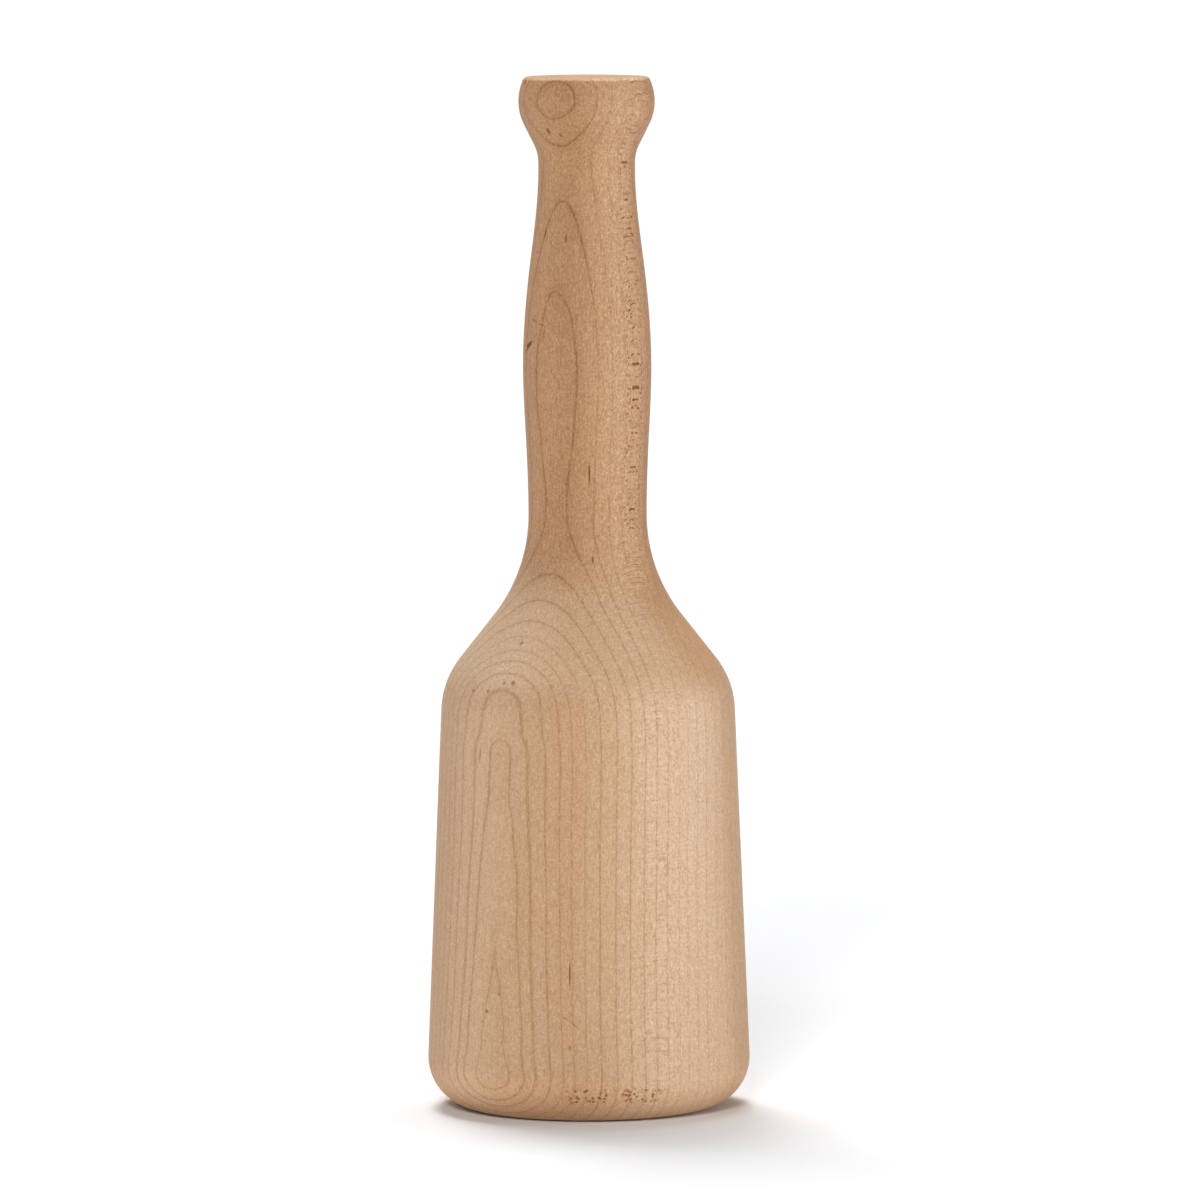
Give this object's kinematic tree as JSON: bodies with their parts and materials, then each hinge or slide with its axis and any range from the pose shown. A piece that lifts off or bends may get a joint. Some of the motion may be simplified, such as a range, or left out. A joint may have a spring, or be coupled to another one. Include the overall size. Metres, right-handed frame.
{
  "type": "meat mallet",
  "caption": "One-piece turned maple meat mallet: heavy tapered round head with a rounded striking face, conical shoulder, palm-swell handle and flared end knob.",
  "frame": {"origin": "centre of the flat striking face, which the mallet stands on", "axes": "+Z along the turning axis, from the striking face up the handle to the knob; the mallet is round, so X and Y are free, and the growth rings of the wood are widest at the -X -Y side"},
  "size_m": [0.0952, 0.0952, 0.3048],
  "materials": {
    "maple": "sanded smooth, unvarnished, satin"
  },
  "bodies": {
    "root": {"mallet": "maple"}
  },
  "joints": []
}
